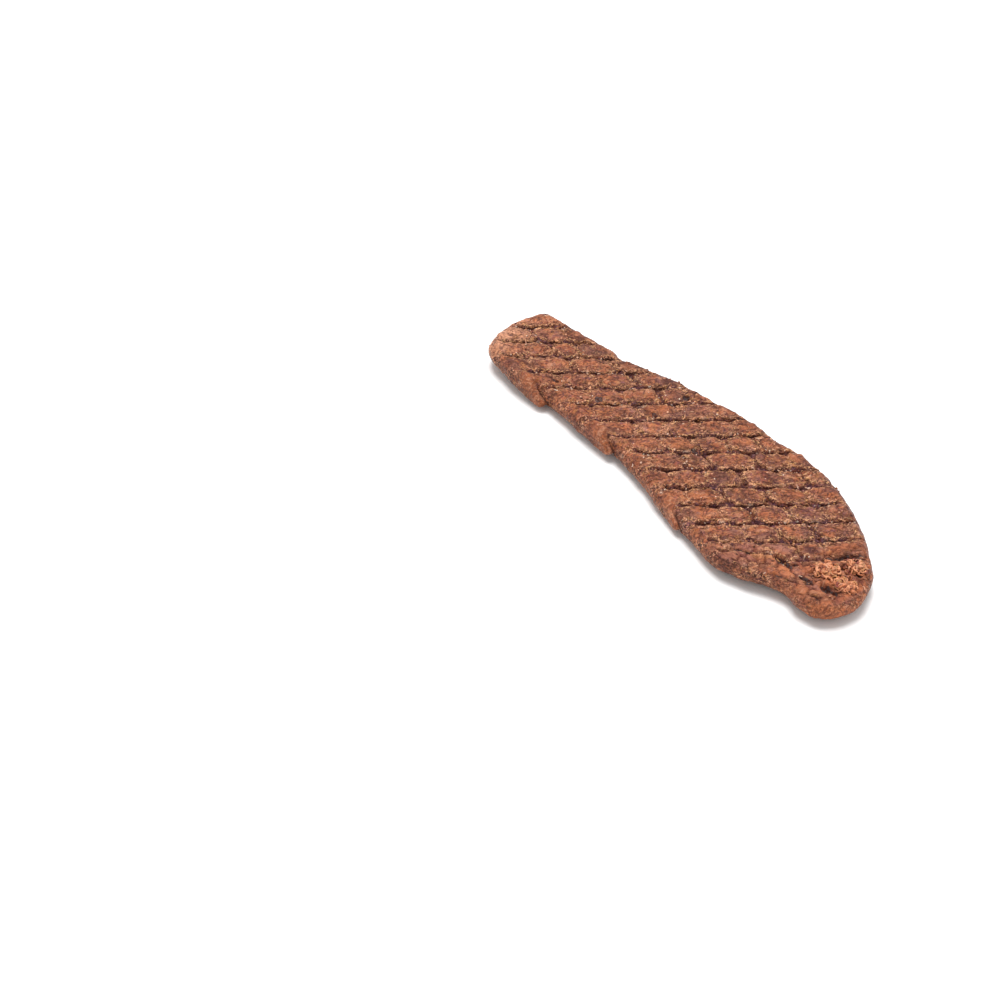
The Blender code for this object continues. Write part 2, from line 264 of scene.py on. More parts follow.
# Scales of colours: each colour's place from 0 to 1
CELL_SCALE = ((0.0, MAUVE), (0.2, RUST), (0.45, PINK), (0.6, RUST), (0.8, TERRACOTTA), (1.0, TAN))
FLESH_SCALE = (
    (0.0, BROWN), (0.12, MAUVE), (0.3, CLAY), (0.5, RUST),
    (0.64, TERRACOTTA), (0.78, PINK), (0.9, TAN), (1.0, PEACH),
)
CHIP_SCALE = (
    (0.0, OLIVE), (0.16, RUST), (0.3, ORANGE), (0.42, PINK), (0.54, BRICK),
    (0.66, TAN), (0.8, ORANGE), (0.9, PINK), (1.0, APRICOT),
)
SPOT_SCALE = ((0.0, PLUM), (0.12, OLIVE), (0.38, PINK), (0.62, ORANGE), (0.85, APRICOT), (1.0, GOLD))
CRUMB_SCALE = (
    (0.0, SHADE), (0.12, PLUM), (0.32, BROWN), (0.48, CLAY), (0.62, RUST), (0.78, TERRACOTTA), (0.92, PEACH),
    (1.0, CREAM),
)
SHRED_TONES = (BRICK, RUST, ORANGE, APRICOT, SALMON, PEACH, HONEY, SALMON, APRICOT)
FIBRE_TONES = (RUST, TAN, GOLD, PEACH, CREAM)
GRAIN_TONES = (PLUM, BROWN, RUST, TERRACOTTA, TAN, PEACH, CREAM)

# Ragged nets: stretch along the rods, size of the wander beside the net's, its detail, its reach
CRUMB_NET = (1.6, 0.8, 2.0, 0.9)
SPOT_NET = (1.5, 0.6, 1.0, 0.7)
SPOT_CORE = 0.6


def step(value, low, high):
    """Smooth step from 0 at low to 1 at high."""
    t = np.clip((value - low) / (high - low), 0.0, 1.0)
    return t * t * (3.0 - 2.0 * t)


def lattice_angle(i, j, seed):
    """A fixed pseudo-random angle for each point of a whole-number lattice."""
    n = (i * 374761393 + j * 668265263 + seed * 974634777) & 0x7FFFFFFF
    n = ((n ^ (n >> 13)) * 1274126177) & 0x7FFFFFFF
    n = n ^ (n >> 16)
    return (n & 0xFFFF) * (2.0 * math.pi / 65536.0)


def lattice_value(i, j, seed):
    """A fixed pseudo-random number from 0 to 1 for each point of a whole-number lattice."""
    return lattice_angle(i.astype(np.int64), j.astype(np.int64), seed) / (2.0 * math.pi)


def noise(x, y, seed):
    """Gradient noise in two dimensions, about -1 to 1, with features one unit across."""
    i = np.floor(x).astype(np.int64)
    j = np.floor(y).astype(np.int64)
    fx = x - i
    fy = y - j
    wx = fx * fx * fx * (fx * (fx * 6.0 - 15.0) + 10.0)
    wy = fy * fy * fy * (fy * (fy * 6.0 - 15.0) + 10.0)

    def corner(di, dj):
        angle = lattice_angle(i + di, j + dj, seed)
        return np.cos(angle) * (fx - di) + np.sin(angle) * (fy - dj)

    low = corner(0, 0) * (1.0 - wx) + corner(1, 0) * wx
    high = corner(0, 1) * (1.0 - wx) + corner(1, 1) * wx
    return 1.5 * (low * (1.0 - wy) + high * wy)


def wave(u, v, depth, long, wide, seed):
    """Noise of the given depth, with features of the given sizes along u and v."""
    return depth * noise(u / long, v / wide, seed)


def warped(x, y, depth, size, seed):
    """Places moved by noise, so that what lies there has ragged borders."""
    return x + wave(x, y, depth, size, size, seed), y + wave(x, y, depth, size, size, seed + 1)


def rod_frame(x, y):
    """Places along the rods and across them."""
    along = x * math.cos(ROD_ANGLE) + y * math.sin(ROD_ANGLE)
    across = x * math.sin(ROD_ANGLE) - y * math.cos(ROD_ANGLE)
    return along, across


def crumbs(x, y, seed):
    """Irregular grains one unit across: way to the nearest middle, gap to the next one, a number each."""
    i = np.floor(x).astype(np.int64)
    j = np.floor(y).astype(np.int64)
    first = np.full(x.shape, 9.0)
    second = np.full(x.shape, 9.0)
    number = np.zeros(x.shape)
    for di in (-1, 0, 1):
        for dj in (-1, 0, 1):
            px = i + di + 0.1 + 0.8 * lattice_value(i + di, j + dj, seed)
            py = j + dj + 0.1 + 0.8 * lattice_value(i + di, j + dj, seed + 1)
            gap = np.hypot(x - px, y - py)
            nearer = gap < first
            second = np.where(nearer, first, np.minimum(second, gap))
            number = np.where(nearer, lattice_value(i + di, j + dj, seed + 2), number)
            first = np.where(nearer, gap, first)
    return first, second - first, number


def closed_curve(points, steps):
    """Points along the smooth closed curve that passes through the given ones."""
    p = np.array(points)
    before = np.roll(p, 1, axis=0)
    after = np.roll(p, -1, axis=0)
    beyond = np.roll(p, -2, axis=0)
    t = np.arange(steps)[None, :, None] / steps
    a, b, c, d = (q[:, None, :] for q in (before, p, after, beyond))
    curve = b + 0.5 * t * (c - a + t * (2 * a - 5 * b + 4 * c - d + t * (3 * (b - c) + d - a)))
    return curve.reshape(-1, 2)


def edge_place(x, y, outline):
    """How far each point lies inside the outline, and how far round the outline its nearest place is."""
    start = outline
    run = np.roll(outline, -1, axis=0) - start
    length = np.hypot(run[:, 0], run[:, 1])
    travelled = np.concatenate([[0.0], np.cumsum(length)[:-1]])
    inside = np.empty(len(x))
    around = np.empty(len(x))
    for first in range(0, len(x), 10000):
        part = slice(first, first + 10000)
        dx = x[part, None] - start[None, :, 0]
        dy = y[part, None] - start[None, :, 1]
        t = np.clip((dx * run[:, 0] + dy * run[:, 1]) / length ** 2, 0.0, 1.0)
        gap = np.hypot(dx - t * run[:, 0], dy - t * run[:, 1])
        best = gap.argmin(axis=1)
        rows = np.arange(len(best))
        inside[part] = gap[rows, best]
        around[part] = travelled[best] + t[rows, best] * length[best]
    return inside, around


def link_places(band, seed, places):
    """Where the links of one row stand along the rods, and how strong each is."""
    if band in places:
        marks = np.array(places[band])
        return marks[:, 0], marks[:, 1]
    n = np.arange(-12, 13)
    row = np.full(n.shape, band)
    wander = LINK_JITTER * (lattice_value(n, row, seed + 3) - 0.5)
    return LINK_STEP * (band % 2) + LINK_PITCH * n + wander, 0.3 + 0.7 * lattice_value(n, row, seed + 4)


def belt_marks(x, y, shift, seed, places):
    """Marks of the belt: way from a cell's middle to its border, 0 to 1, crease, number of the cell, row."""
    along, across = rod_frame(x, y)
    along = along + shift
    across = across - ROD_PHASE + shift
    across = (
        across + wave(along, across, 0.3, 13.0, 20.0, seed) + wave(along, across, 0.12, 4.0, 6.0, seed + 1)
    )
    across = across + wave(along, across, 0.1, 1.3, 1.3, seed + 5) + wave(x, y, 0.06, 0.6, 0.6, seed + 6)
    row = across / ROD_PITCH
    row = row + SQUEEZE * np.maximum(row - SQUEEZED_ROW, 0.0) * (1.0 - step(along, 15.0, 22.0))
    rod = np.round(row)
    rod_gap = np.abs(row - rod) * ROD_PITCH
    rod_force = np.clip(0.8 + 0.6 * noise(along / 8.0, rod * 3.7, seed + 2), 0.5, 1.0)

    band = np.floor(row).astype(int)
    height = row - band
    ragged = wave(x, y, 0.45, 1.3, 1.3, seed + 7) + wave(x, y, 0.5, 3.0, 3.0, seed + 10)
    link_gap = np.full(x.shape, LINK_REACH)
    link_force = np.zeros(x.shape)
    number = np.zeros(x.shape)
    for this in range(band.min(), band.max() + 1):
        here = band == this
        stands, forces = link_places(this, seed, places)
        run = along[here] + ragged[here] - LINK_RUN * (height[here] - 0.5)
        offset = run[:, None] - stands
        link_gap[here] = np.abs(offset).min(axis=1)
        link_force[here] = forces[np.abs(offset).argmin(axis=1)]
        cell = (offset > 0.0).sum(axis=1)
        number[here] = lattice_value(cell, np.full(cell.shape, this), seed + 8)

    to_rod = np.abs(2.0 * height - 1.0) * (0.88 + 0.12 * rod_force)
    to_link = np.maximum(1.0 - link_gap / LINK_REACH, 0.0) * (0.5 + 0.44 * link_force)
    edge = (to_rod ** CORNER_POWER + to_link ** CORNER_POWER) ** (1.0 / CORNER_POWER)
    edge = edge + wave(x, y, 0.1, 2.6, 2.6, seed + 9) + wave(x, y, 0.08, 1.0, 1.0, seed + 12) - 0.03
    width = CREASE_WIDTH * np.clip(1.0 + wave(x, y, 0.8, 1.8, 1.8, seed + 11), 0.5, 1.5)
    rod_crease = rod_force * np.exp(-(rod_gap / width) ** 2)
    link_crease = 0.85 * link_force ** 2 * np.exp(-(link_gap / width) ** 2)
    return edge, np.maximum(rod_crease, link_crease), number, row


def oval(x, y, px, py, half_length, half_width, angle):
    """1 in the middle of an oval, 0 outside it."""
    turn = math.radians(angle)
    dx = x - px
    dy = y - py
    u = (dx * math.cos(turn) + dy * math.sin(turn)) / half_length
    v = (dy * math.cos(turn) - dx * math.sin(turn)) / half_width
    return np.exp(-(u * u + v * v) ** 2)


def pit_depth(x, y):
    """Depth of the holes in the upper face."""
    wx, wy = warped(x, y, 0.45, 1.1, 45)
    depth = np.zeros_like(x)
    for *place, deep in PITS:
        depth = np.maximum(depth, deep * oval(wx, wy, *place))
    return depth


def torn_share(x, y):
    """1 on the heaps of shreds, 0 away from them."""
    wx, wy = warped(x, y, 0.9, 1.7, 41)
    share = np.zeros_like(x)
    for heap in HEAPS:
        share = np.maximum(share, oval(wx, wy, *heap))
    return share


def torn_field(x, y):
    """1 in the torn area, on its heaps of shreds and between them."""
    return np.maximum(torn_share(x, y), oval(x, y, *TORN_FIELD))


def patches(x, y):
    """Share, colour number and rise of the patches of their own colour."""
    wx, wy = warped(x, y, 0.5, 1.6, 43)
    share = np.zeros_like(x)
    number = np.zeros_like(x)
    rise = np.zeros_like(x)
    for *place, tone, up in PATCHES:
        this = oval(wx, wy, *place)
        number = np.where(this > share, tone, number)
        rise = np.maximum(rise, up * this)
        share = np.maximum(share, this)
    return share, number, rise


def broken_grains(u, v, moved_u, moved_v, sizes, rise, dome, gap, depth, breaks, seed):
    """Rounded grains with broken crevices between them: their relief, the crevices, a number for each."""
    middle, to_next, number = crumbs(moved_u / sizes[0], moved_v / sizes[1], seed + 2)
    size, low, high = breaks
    crevice = np.exp(-(to_next / gap) ** 2) * step(noise(u / size, v / size, seed + 5), low, high)
    return rise * (number - 0.5) + dome * (0.5 - middle) - depth * crevice, crevice, number


def meat_grain(u, v, seed):
    """Fine relief of pressed ground meat, about -1 to 1, and a number for each of its grains."""
    a, b = rod_frame(u, v)
    moved_a = a + wave(u, v, 0.55, 1.7, 1.7, seed)
    moved_b = b + wave(u, v, 0.55, 1.7, 1.7, seed + 1)
    relief, _, number = broken_grains(u, v, moved_a, moved_b, **GRAIN, seed=seed)
    fine = wave(a, b, 0.35, 0.95, 0.6, seed + 6) + wave(u, v, 0.22, 0.38, 0.38, seed + 7)
    return relief + fine, number


def folds(x, y, seed):
    """Soft folds of the meat, longest along the rods, with sharp valleys between them, about -1 to 1."""
    along, across = rod_frame(x, y)
    along = along + wave(x, y, 0.8, 2.5, 2.5, seed)
    across = across + wave(x, y, 0.8, 2.5, 2.5, seed + 1)
    return 2.2 * np.abs(noise(along / 3.6, across / 1.9, seed + 2)) - 0.7


def facets(x, y, seed):
    """Rounded chunks of pressed meat: their relief, the crevices between them, and a number for each."""
    moved_x, moved_y = warped(x, y, 0.7, 2.2, seed)
    return broken_grains(x, y, moved_x, moved_y, **CHUNK, seed=seed)


def upper_face(x, y, inside):
    """Height of the upper face over the plain slab, and its paint values."""
    near = step(-y - 0.35 * x, 0.0, 12.0)
    fade = step(inside, 0.2 + 0.6 * near, 1.8 + 1.6 * near)
    edge, crease, number, row = belt_marks(x, y, 0.0, 11, LINKS)
    torn = torn_share(x, y)
    fade = fade * (1.0 - step(row, LAST_ROW - 0.25, LAST_ROW + 0.1)) * (1.0 - 0.8 * torn)
    pocket = step(edge, *POCKET) * fade
    crease = crease * fade
    rough = np.maximum(pocket, 0.45)
    lip = np.exp(-((edge - 0.82) / 0.07) ** 2) * step(noise(x / 1.4, y / 1.4, 31), -0.1, 0.5) * fade
    lumps = wave(x, y, 0.2, 4.2, 4.2, 21) + wave(x, y, 0.12, 2.0, 2.0, 22) + 0.2 * folds(x, y, 24)
    grain, tint = meat_grain(x, y, 101)
    pits = pit_depth(x, y)
    dome = (SWELL * np.maximum(1.0 - edge * edge, 0.0) - SWELL_MEAN) * fade
    chunky = step(row, 5.1, 5.8) * step(x, 26.0, 36.0) * step(inside, 0.2, 1.6) * (1.0 - torn)
    chunk, crevice, chip = facets(x, y, 111)
    height = dome - POCKET_DEPTH * pocket - CREASE_DEPTH * crease + lumps - pits
    height = height + 0.22 * rough * (1.0 - 0.5 * chunky) * grain + 0.14 * lip + 0.9 * chunky * chunk
    spot, spot_tone, rise = patches(x, y)
    height = height + torn * (HEAP_RISE * noise(x / 1.3, y / 1.1, 23) - HEAP_HOLLOW) + rise
    # The relief kept as "grain": the material darkens its hollows as painted shade and lightens its tops as
    # painted highlights
    relief = (0.6 * grain + lumps / 0.3) * (1.0 - 0.3 * chunky)
    paint = {"marks": fade, "crease": crease, "hole": step(pits, 0.1, 0.7), "lip": lip, "edge": edge,
             "cell": number, "row": row, "torn": torn, "grain": relief, "tint": tint, "spot": spot,
             "spot_tone": spot_tone, "chunky": chunky, "chip": chip, "crevice": chunky * crevice}
    return height, paint


def lower_face(x, y, inside):
    """Height of the lower face above the plain slab's underside, and its paint values."""
    fade = step(inside, 1.5, 4.0)
    edge, crease, number, row = belt_marks(x, y, UNDERSIDE_SHIFT, 51, {})
    pocket = step(edge, *POCKET) * fade
    crease = crease * fade
    lip = np.exp(-((edge - 0.8) / 0.08) ** 2) * step(noise(x / 1.4, y / 1.4, 33), -0.2, 0.5) * fade
    hollows = 0.7 * step(noise(x / 6.5, y / 5.0, 61), 0.3, 0.9)
    grain, tint = meat_grain(x, y, 151)
    marks = UNDERSIDE_SHARE * (POCKET_DEPTH * pocket + CREASE_DEPTH * crease)
    height = np.maximum(marks + hollows + 0.15 * (1.0 - grain) - FLAT_MARGIN, 0.0)
    paint = {"marks": fade, "crease": crease, "lip": lip, "edge": edge, "cell": number, "row": row,
             "grain": grain, "tint": tint}
    return height, paint


def flap_relief(x, y, level):
    """Outward height of the flaps on the rim, depth of the cracks at their ends, and where a flap lies."""
    total = np.zeros_like(x)
    cracks = np.zeros_like(x)
    cover = np.zeros_like(x)
    low = 1.0 - step(level, -0.3, 0.9)
    for side, end, length, height, lean in FLAPS:
        on_side = y * side > 0.0
        free_end = end - lean * step(level, -0.3, 1.0) - 2.2 * step(-level, 0.1, 1.0)
        free_end = free_end + 0.5 * noise(level * 1.5, x * 0.0 + end, 37)
        behind = free_end - x
        tip = np.sqrt(1.0 - (1.0 - np.clip(behind / FLAP_TIP, 0.0, 1.0)) ** 2)
        rise = height * step(behind, length, 0.0) * tip
        crack = (0.1 + 0.7 * low) * np.exp(-((behind + 0.25) / FLAP_CRACK_WIDTH) ** 2)
        total += np.where(on_side, rise - FLAP_CRACK * crack, 0.0)
        cracks += np.where(on_side, crack, 0.0)
        cover += np.where(on_side, step(behind, 7.0, 1.5) * step(behind, -0.25, 0.35), 0.0)
    return total, cracks, cover


def lift(x, y, inside):
    """How far the strip's middle is bent up from the floor."""
    narrow = NARROW_END_LIFT * step(-x, 26.0, 66.0)
    wide = WIDE_END_LIFT * step(x, 30.0, 66.0)
    sides = SIDE_LIFT * (1.0 - step(inside, 0.0, 7.0)) * (0.6 + wave(x, y, 0.8, 25.0, 60.0, 71))
    return narrow + wide + np.maximum(sides, 0.0)


def evaluated_mesh(obj):
    """The object's mesh with its modifiers applied; the object is removed."""
    graph = bpy.context.evaluated_depsgraph_get()
    mesh = bpy.data.meshes.new_from_object(obj.evaluated_get(graph))
    bpy.data.objects.remove(obj)
    return mesh


def new_object(name, data):
    """A new object in the scene."""
    obj = bpy.data.objects.new(name, data)
    bpy.context.scene.collection.objects.link(obj)
    return obj


def make_slab(outline):
    """The plain slab with a round rim, as a fine even mesh."""
    curve = bpy.data.curves.new("slab_outline", "CURVE")
    curve.dimensions = "2D"
    curve.fill_mode = "BOTH"
    curve.bevel_depth = RIM_RADIUS * MM
    curve.bevel_resolution = 8
    curve.offset = -RIM_RADIUS * MM
    spline = curve.splines.new("POLY")
    spline.points.add(len(outline) - 1)
    for point, (x, y) in zip(spline.points, outline):
        point.co = (x * MM, y * MM, 0.0, 1.0)
    spline.use_cyclic_u = True
    flat = new_object("slab_outline", curve)
    bpy.context.view_layer.update()
    slab = new_object("slab", evaluated_mesh(flat))
    weld = slab.modifiers.new("Weld", "WELD")
    weld.merge_threshold = 0.00001
    remesh = slab.modifiers.new("Remesh", "REMESH")
    remesh.mode = "VOXEL"
    remesh.voxel_size = VOXEL * MM
    bpy.context.view_layer.update()
    return evaluated_mesh(slab)


def read_vectors(collection, name):
    """A mesh's vectors as an array of rows."""
    flat = np.empty(len(collection) * 3)
    collection.foreach_get(name, flat)
    return flat.reshape(-1, 3)


def store(mesh, name, values):
    """Keeps a number for each of the mesh's points."""
    attribute = mesh.attributes.new(name, "FLOAT", "POINT")
    attribute.data.foreach_set("value", values.astype(np.float32))


def read_values(mesh, name):
    """A mesh's kept numbers."""
    values = np.empty(len(mesh.vertices))
    mesh.attributes[name].data.foreach_get("value", values)
    return values


def carve(mesh, outline):
    """Moves the slab's points onto the true surface and stores the paint values."""
    points = read_vectors(mesh.vertices, "co") / MM
    normals = read_vectors(mesh.vertex_normals, "vector")
    x, y, z = points.T
    inside, around = edge_place(x, y, outline)
    level = np.clip(z / (RIM_RADIUS - FLAT_MARGIN), -1.0, 1.0)
    up = step(normals[:, 2], *FACING)
    down = step(-normals[:, 2], *FACING)
    rim = 1.0 - up - down
    upper, above = upper_face(x, y, inside)
    lower, below = lower_face(x, y, inside)
    rim_lumps = 0.3 * noise(x / 6.0 + y / 9.0, z / 4.0 - y / 5.0, 81)
    rim_lumps = rim_lumps + 0.12 * noise(x / 2.4, z / 1.8 + y / 2.4, 82)
    rim_grain, rim_tint = meat_grain(around / 1.5, z, 131)
    flaps, cracks, cover = flap_relief(x, y, level)
    at_rim = (1.0 - step(inside, 1.5, 3.0)) * (1.0 - 0.7 * down)
    outward = up * upper - down * lower + rim * (rim_lumps + 0.15 * rim_grain) + flaps * at_rim
    thick = 1.0 + wave(x, y, 0.07, 30.0, 20.0, 91)
    height = RIM_RADIUS * (1.0 + level * np.where(level > 0.0, thick, 1.0)) + lift(x, y, inside)
    moved = np.stack([x, y, height], axis=1) + normals * outward[:, None]
    moved[:, 2] = np.maximum(moved[:, 2], 0.0)
    mesh.vertices.foreach_set("co", (moved * MM).ravel())
    at_edge = {"edge": 0.5, "cell": 0.5, "grain": rim_grain, "tint": rim_tint, "chip": above["chip"],
               "chunky": 0.8 * step(x, 40.0, 52.0) * step(-y, 2.0, 8.0)}
    for name in above:
        value = up * above[name] + down * below.get(name, 0.0) + rim * at_edge.get(name, 0.0)
        if name in ("row", "edge"):
            value = np.where(normals[:, 2] > 0.0, above[name], below[name])
        if name == "hole":
            value = value + cracks * at_rim
        store(mesh, name, value)
    pocket = up * step(above["edge"], *POCKET) * above["marks"]
    store(mesh, "pocket", pocket + down * step(below["edge"], *POCKET) * below["marks"])
    store(mesh, "rim", rim)
    store(mesh, "flap", cover * at_rim)
    near_side = step(-y - WARM_SLOPE * x, *WARM_SIDE) * (1.0 - step(x, *WARM_SIDE_END))
    store(mesh, "warm", np.maximum(near_side, WARM_END_SHARE * step(x, *WARM_END)))
    store(mesh, "glow", step(x, *GLOW) * (1.0 - step(inside, *GLOW_REACH)))
    store(mesh, "pale", step(-x, *PALE) * (1.0 - step(y, *PALE_SIDE)))
    # Where the far rim gets its painted shade
    store(mesh, "far", step(inside, *FAR_REACH) * step(y + FAR_SLOPE * x, *FAR_SIDE))
    mesh.update()


def centre_on_floor(mesh):
    """Puts the mesh's box on the floor with its centre over the solid's."""
    points = read_vectors(mesh.vertices, "co")
    low = points.min(axis=0)
    high = points.max(axis=0)
    cad_low, cad_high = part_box(NODE)
    points[:, 0] += (cad_low[0] + cad_high[0] - low[0] - high[0]) / 2
    points[:, 1] += (cad_low[1] + cad_high[1] - low[1] - high[1]) / 2
    points[:, 2] += cad_low[2] - low[2]
    mesh.vertices.foreach_set("co", points.ravel())
    mesh.update()


class Shader:
    """A material's nodes, made and joined by short calls."""

    def __init__(self, name):
        self.material = bpy.data.materials.new(name)
        self.material.use_nodes = True
        self.tree = self.material.node_tree
        self.surface = self.tree.nodes["Principled BSDF"]
        self.slices = 0
        self.colour = None

    def node(self, kind, **settings):
        made = self.tree.nodes.new(kind)
        for key, value in settings.items():
            setattr(made, key, value)
        return made

    def feed(self, socket, value):
        if isinstance(value, bpy.types.NodeSocket):
            self.tree.links.new(value, socket)
        else:
            socket.default_value = value

    def attribute(self, name):
        return self.node("ShaderNodeAttribute", attribute_name=name).outputs["Fac"]

    def frame(self, size, stretch):
        """Places measured in units of the given size in millimetres, along the rods, across them and up."""
        self.slices += 1
        mapping = self.node("ShaderNodeMapping", vector_type="TEXTURE")
        self.feed(mapping.inputs["Vector"], self.node("ShaderNodeTexCoord").outputs["Object"])
        mapping.inputs["Location"].default_value = (0.0, 0.0, SLICE * MM * self.slices)
        mapping.inputs["Rotation"].default_value = (0.0, 0.0, ROD_ANGLE)
        mapping.inputs["Scale"].default_value = (size * MM * stretch, size * MM, size * MM)
        return mapping.outputs["Vector"]

    def noise(self, size, detail, rough, warp=0.0, stretch=1.0):
        """Noise with features of the given size in millimetres, 0 to 1."""
        made = self.node("ShaderNodeTexNoise")
        self.feed(made.inputs["Vector"], self.frame(size, stretch))
        made.inputs["Scale"].default_value = 1.0
        made.inputs["Detail"].default_value = detail
        made.inputs["Roughness"].default_value = rough
        made.inputs["Distortion"].default_value = warp
        return made.outputs["Fac"]

    def math(self, operation, a, b=0.0):
        made = self.node("ShaderNodeMath", operation=operation)
        for socket, value in zip(made.inputs, (a, b)):
            self.feed(socket, value)
        return made.outputs[0]

    def times(self, *values):
        """The product of the values, first to last."""
        product = values[0]
        for value in values[1:]:
            product = self.math("MULTIPLY", product, value)
        return product

    def sway(self, value, pattern, size):
        """A value swayed both ways by a pattern."""
        return self.math("ADD", value, self.times(self.math("SUBTRACT", pattern, 0.5), size))

    def ragged_net(self, size, stretch, wander_size, detail, wander):
        """Places of a net of the given size in millimetres, moved by noise."""
        noise = self.node("ShaderNodeTexNoise")
        self.feed(noise.inputs["Vector"], self.frame(wander_size * size, 1.0))
        noise.inputs["Scale"].default_value = 1.0
        noise.inputs["Detail"].default_value = detail
        moved = self.node("ShaderNodeVectorMath", operation="MULTIPLY_ADD")
        self.feed(moved.inputs[0], noise.outputs["Color"])
        moved.inputs[1].default_value = (wander,) * 3
        self.feed(moved.inputs[2], self.frame(size, stretch))
        return moved.outputs[0]

    def cells(self, places, **settings):
        """Cells of a net: the node that finds them."""
        made = self.node("ShaderNodeTexVoronoi", **settings)
        self.feed(made.inputs["Vector"], places)
        made.inputs["Scale"].default_value = 1.0
        return made

    def numbers(self, net):
        """Two numbers for each cell of a net."""
        split = self.node("ShaderNodeSeparateColor")
        self.feed(split.inputs[0], net.outputs["Color"])
        return split.outputs[0], split.outputs[1]

    def spots(self, size, share, radius):
        """Irregular spots in a share of the places of a net of the given size in millimetres."""
        net = self.cells(self.ragged_net(size, *SPOT_NET))
        near = self.ramp(net.outputs["Distance"], radius, SPOT_CORE * radius)
        return self.times(near, self.math("GREATER_THAN", self.numbers(net)[0], 1.0 - share))

    def crumbs(self, size):
        """Crumbs of the given size in millimetres: two numbers for each, and the gap to the next crumb."""
        places = self.ragged_net(size, *CRUMB_NET)
        tone, light = self.numbers(self.cells(places))
        return tone, light, self.cells(places, feature="DISTANCE_TO_EDGE").outputs["Distance"]

    def ramp(self, value, low, high, out_low=0.0, out_high=1.0):
        """Maps a value smoothly from low..high to out_low..out_high."""
        made = self.node("ShaderNodeMapRange", interpolation_type="SMOOTHSTEP")
        if low > high:
            low, high, out_low, out_high = high, low, out_high, out_low
        for socket, number in zip(("Value", "From Min", "From Max", "To Min", "To Max"),
                                  (value, low, high, out_low, out_high)):
            self.feed(made.inputs[socket], number)
        return made.outputs["Result"]

    def ridge(self, value, middle, low, high):
        """1 along the thin line where a value crosses the middle, 0 away from it."""
        return self.ramp(self.math("ABSOLUTE", self.math("SUBTRACT", value, middle)), low, high)

    def mix(self, share, a, b):
        """Colour a with a share of colour b over it."""
        made = self.node("ShaderNodeMix", data_type="RGBA")
        self.feed(made.inputs[0], share)
        self.feed(made.inputs[6], a)
        self.feed(made.inputs[7], b)
        return made.outputs[2]

    def lay(self, share, paint):
        """Lays a share of a colour over the surface's colour so far."""
        self.colour = self.mix(share, self.colour, paint)

    def shade(self, shade):
        """Gives the surface its colour, times a shade."""
        scaled = self.node("ShaderNodeVectorMath", operation="SCALE")
        self.feed(scaled.inputs[0], self.colour)
        self.feed(scaled.inputs["Scale"], shade)
        self.feed(self.surface.inputs["Base Color"], scaled.outputs["Vector"])

    def pick(self, value, scale):
        """The colour at a value's place on a scale of colours."""
        made = self.node("ShaderNodeValToRGB")
        stops = made.color_ramp.elements
        stops[0].color = scale[0][1]
        stops[1].color = scale[-1][1]
        for place, paint in scale[1:-1]:
            stops.new(place).color = paint
        self.feed(made.inputs[0], value)
        return made.outputs[0]


